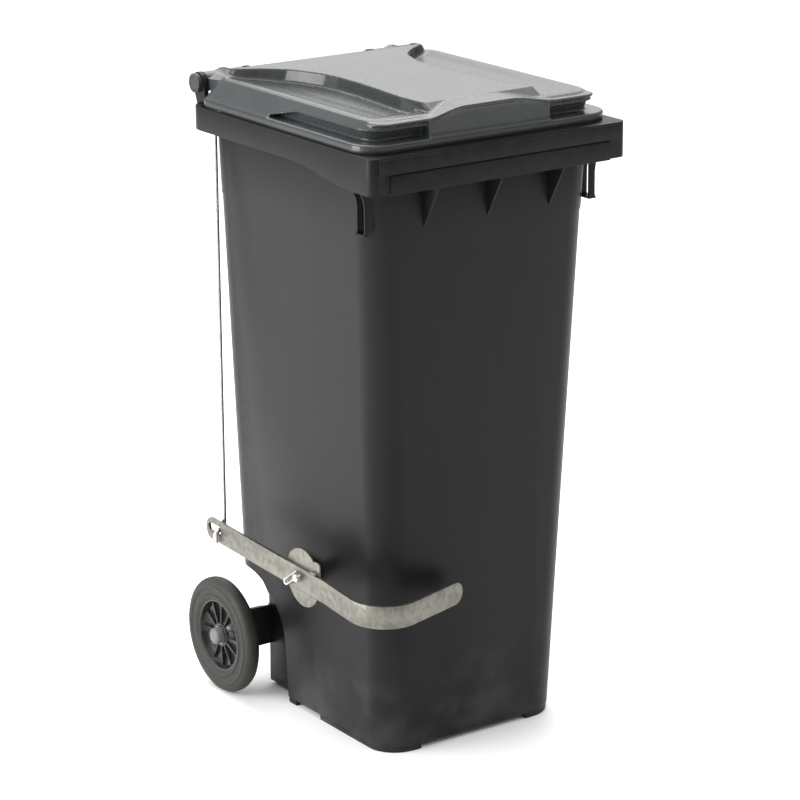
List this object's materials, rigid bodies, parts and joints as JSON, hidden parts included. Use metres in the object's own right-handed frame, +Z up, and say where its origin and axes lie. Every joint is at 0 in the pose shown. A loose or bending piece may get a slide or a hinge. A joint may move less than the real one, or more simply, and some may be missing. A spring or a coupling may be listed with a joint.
{
  "type": "wheelie bin",
  "caption": "Tall two-wheeled plastic refuse bin with a hinged lid, comb rim, rear handle and a side foot pedal whose rod lifts the lid.",
  "frame": {"origin": "centre of the footprint on the floor: halfway between the hub caps, and halfway between the pedal's front and the wheels' rear", "axes": "+Z up; -Y is the front with the comb; +Y is the rear with hinge, handle and wheels; -X is the pedal side; +X completes the right-handed frame"},
  "size_m": [0.496, 0.5709, 1.049],
  "materials": {
    "container_plastic": "moulded HDPE, fine grain",
    "lid_plastic": "moulded HDPE, slightly glossier",
    "hinge_plastic": "moulded",
    "wheel_plastic": "moulded, semi-matt",
    "cap_plastic": "moulded grey",
    "tyre_rubber": "matt rubber",
    "zinc_steel": "zinc plated",
    "pedal_steel": "galvanised flat bar",
    "bright_steel": "bright drawn wire"
  },
  "bodies": {
    "container": {"container_body": "container_plastic", "container_rim": "container_plastic", "container_ears": "container_plastic", "axle": "zinc_steel", "hinge_pin_left": "hinge_plastic", "hinge_pin_right": "hinge_plastic", "axle_washer_left": "zinc_steel", "axle_washer_right": "zinc_steel", "wheel_clip_left": "zinc_steel", "wheel_clip_right": "zinc_steel", "hub_cap_left": "cap_plastic", "hub_cap_right": "cap_plastic", "pedal_bracket": "pedal_steel", "bracket_backing_plate": "zinc_steel", "bracket_bolts": "zinc_steel", "bracket_nuts": "zinc_steel", "pivot_pin": "bright_steel", "pivot_washer": "zinc_steel", "pivot_clip": "bright_steel"},
    "lid": {"lid": "lid_plastic", "lid_push_bracket": "zinc_steel", "lid_bracket_screws": "zinc_steel", "lid_bracket_nuts": "zinc_steel"},
    "lever": {"pedal_lever": "pedal_steel"},
    "rod": {"tie_rod": "bright_steel"},
    "wheel_left": {"wheel_rim_left": "wheel_plastic", "tyre_left": "tyre_rubber"},
    "wheel_right": {"wheel_rim_right": "wheel_plastic", "tyre_right": "tyre_rubber"}
  },
  "joints": [
    {"name": "lid_hinge", "type": "hinge", "parent": "container", "child": "lid", "pos_m": [0, 0.24346, 1.02], "axis": [-1, 0, 0], "range_deg": [0, 70]},
    {"name": "pedal_pivot", "type": "hinge", "parent": "container", "child": "lever", "pos_m": [-0.2355, -0.06954, 0.277], "axis": [1, 0, 0], "range_deg": [0, 21.32]},
    {"name": "rod_slide", "type": "slide", "parent": "container", "child": "rod", "axis": [0, 0, 1], "range_m": [0, 0.09665]},
    {"name": "wheel_left_spin", "type": "hinge", "parent": "container", "child": "wheel_left", "pos_m": [-0.227, 0.18346, 0.098], "axis": [1, 0, 0], "continuous": true},
    {"name": "wheel_right_spin", "type": "hinge", "parent": "container", "child": "wheel_right", "pos_m": [0.227, 0.18346, 0.098], "axis": [1, 0, 0], "continuous": true}
  ],
  "couplings": [
    {"joint": "pedal_pivot", "follows": "lid_hinge", "ratio": 0.30447},
    {"joint": "rod_slide", "follows": "lid_hinge", "m_per_rad": 0.079092}
  ]
}
